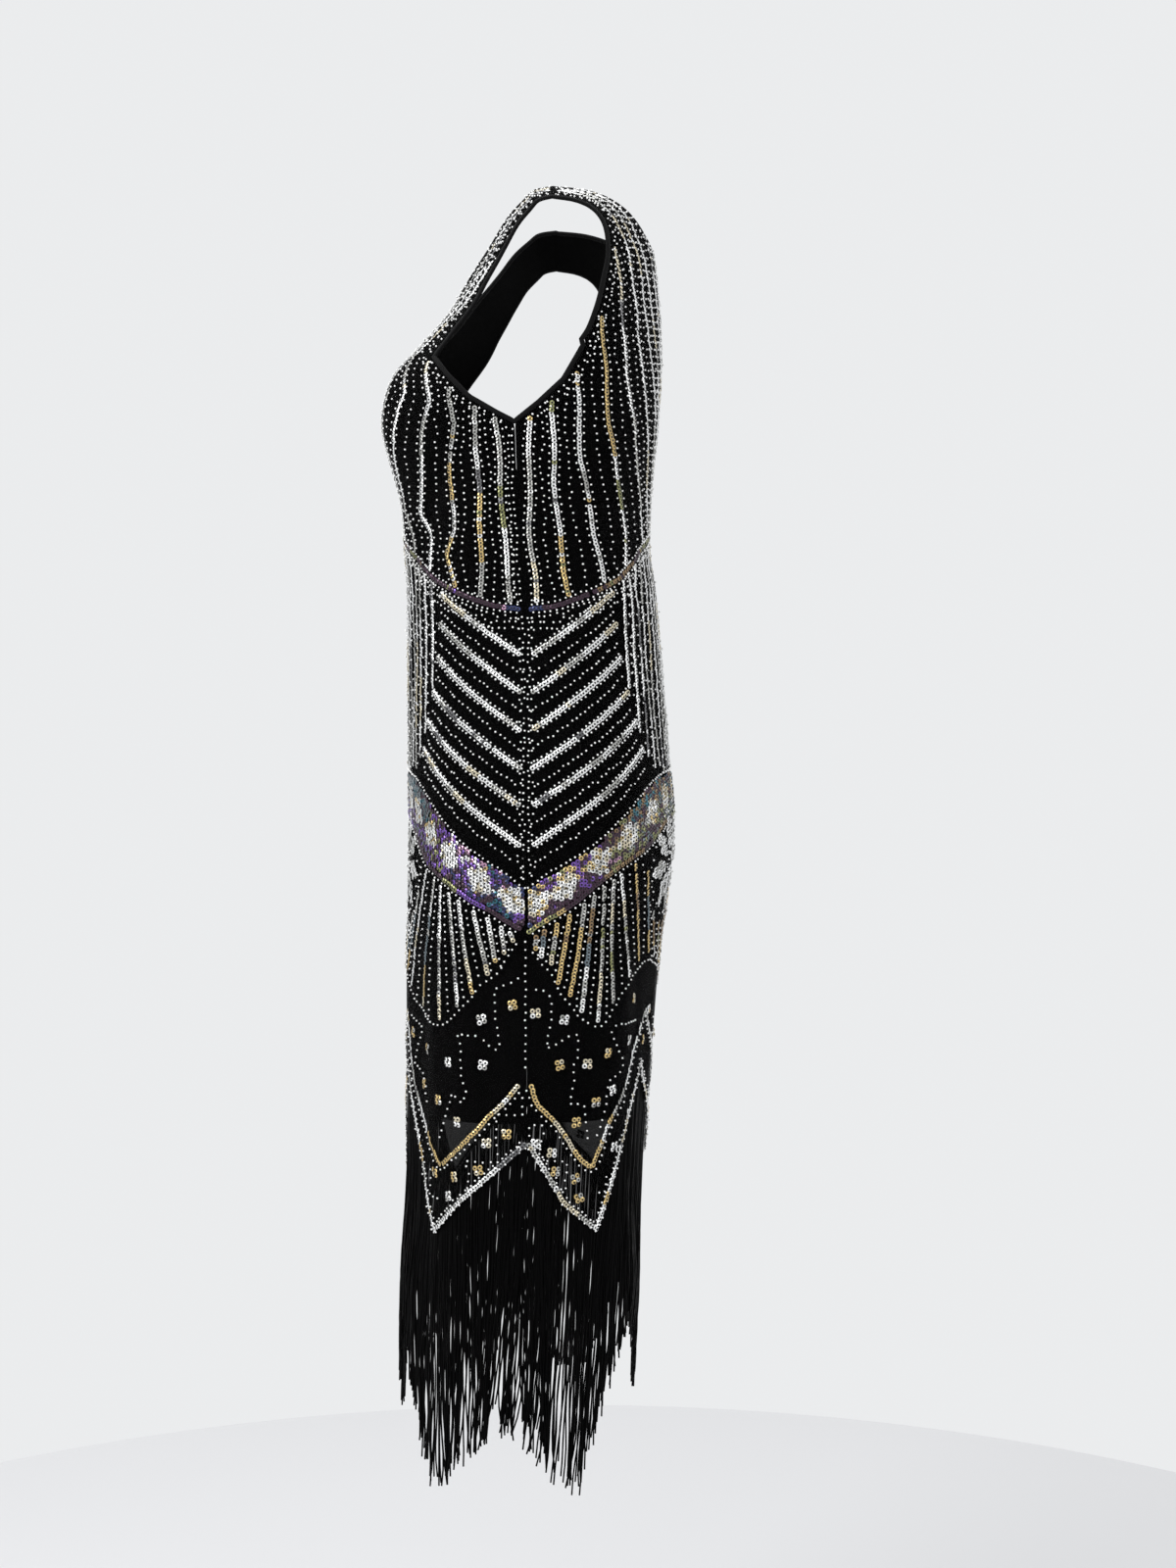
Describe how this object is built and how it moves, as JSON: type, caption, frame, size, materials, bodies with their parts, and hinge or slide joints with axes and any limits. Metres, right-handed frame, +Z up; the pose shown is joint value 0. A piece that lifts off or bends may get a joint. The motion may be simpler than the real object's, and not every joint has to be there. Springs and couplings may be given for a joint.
{
  "type": "sleeveless fringed beaded dress",
  "caption": "Sleeveless V-neck dress of beaded net over a lining, hollow as worn, with a zigzag hem that ends in a long hanging fringe",
  "frame": {"origin": "midway between the two shoulder seams, at the height of the shoulder line that carries the dress", "axes": "+Z up, the dress faces -Y, the wearer's left side is at +X"},
  "size_m": [0.3584, 0.2584, 1.1247],
  "materials": {
    "beaded_net": "matt black net",
    "lining_cloth": "soft black jersey",
    "binding_tape": "matt black bias tape",
    "fringe_cord": "black cord with a slight sheen"
  },
  "bodies": {
    "root": {"front_panel": "beaded_net", "back_panel": "beaded_net", "front_lining": "lining_cloth", "back_lining": "lining_cloth", "neck_binding": "binding_tape", "armhole_binding_left": "binding_tape", "armhole_binding_right": "binding_tape", "fringe_front": "fringe_cord", "fringe_back": "fringe_cord"}
  },
  "joints": []
}
